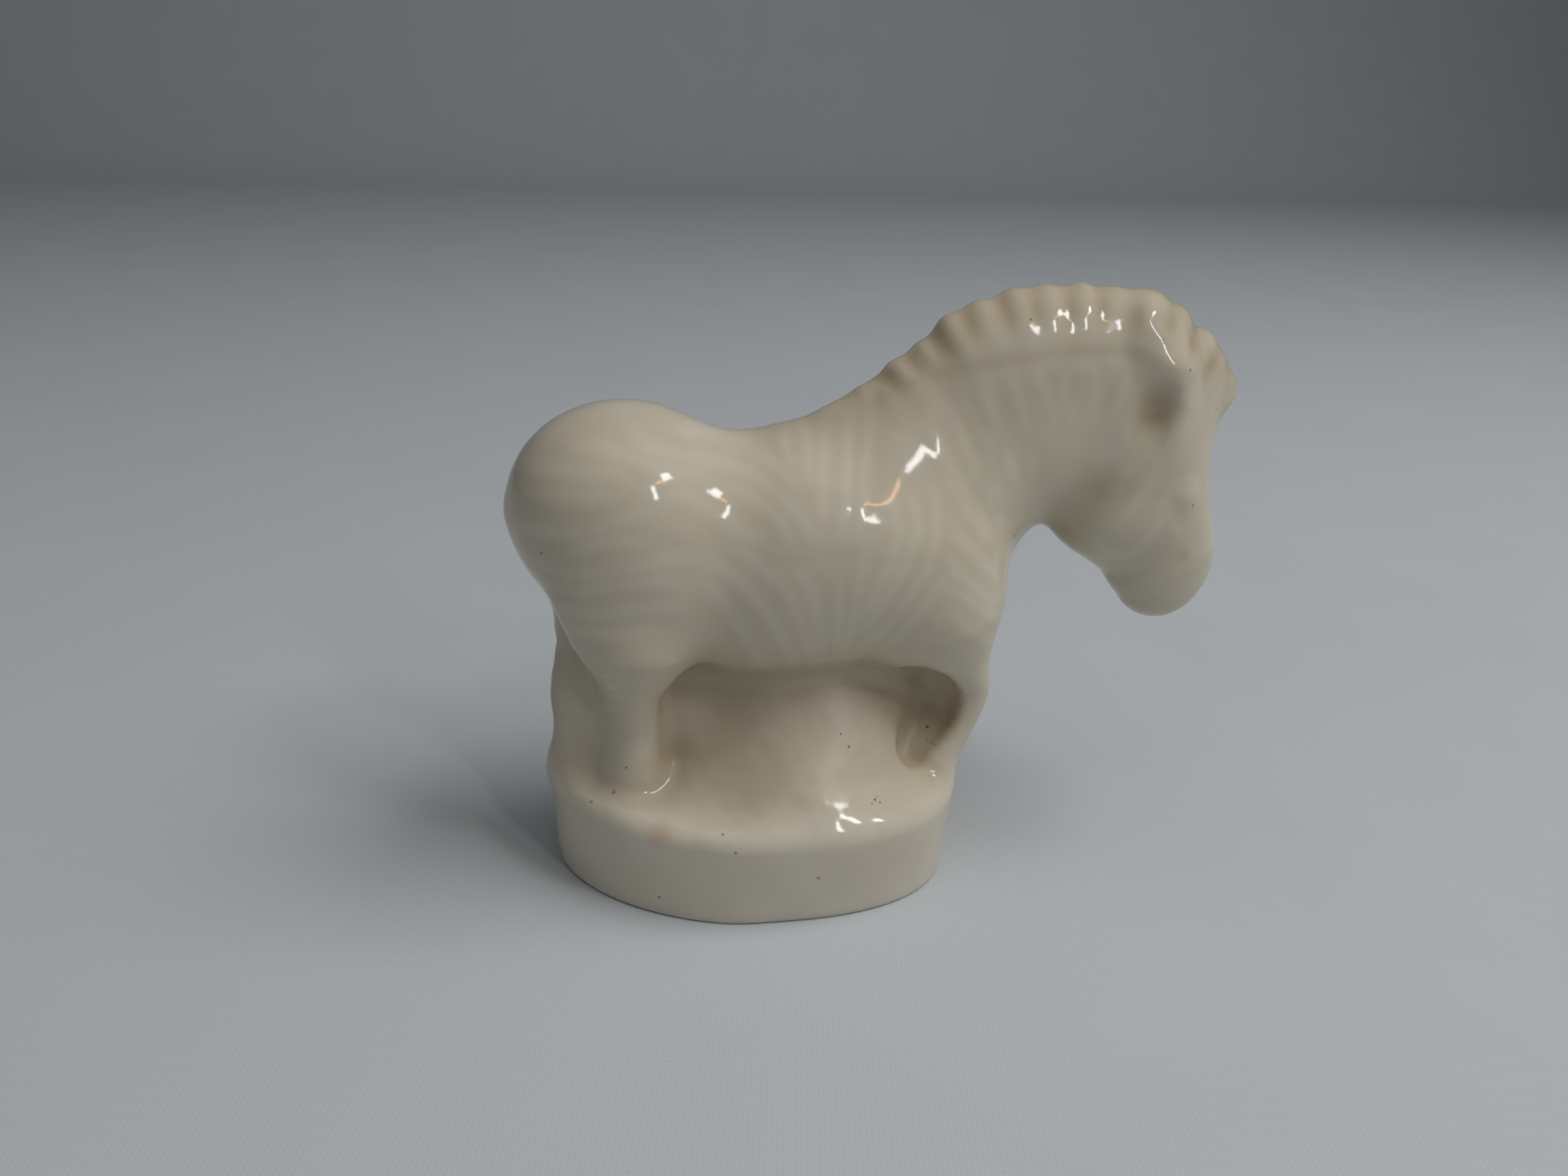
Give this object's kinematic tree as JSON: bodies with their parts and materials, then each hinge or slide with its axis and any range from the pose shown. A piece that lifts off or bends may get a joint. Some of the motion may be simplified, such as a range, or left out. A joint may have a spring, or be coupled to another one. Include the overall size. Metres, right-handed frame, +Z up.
{
  "type": "zebra figurine",
  "caption": "Small glazed porcelain zebra with its head hung low, standing on an oval plinth; an ornament for a shelf or a display case.",
  "frame": {"origin": "middle of the plinth's flat underside", "axes": "+X the way the zebra faces, along the plinth; +Y towards the zebra's left side; +Z up"},
  "size_m": [0.0462, 0.0202, 0.038],
  "materials": {
    "zebra_figurine": "cream glaze over fired porcelain, glossy"
  },
  "bodies": {
    "root": {"zebra_figurine": "zebra_figurine"}
  },
  "joints": []
}
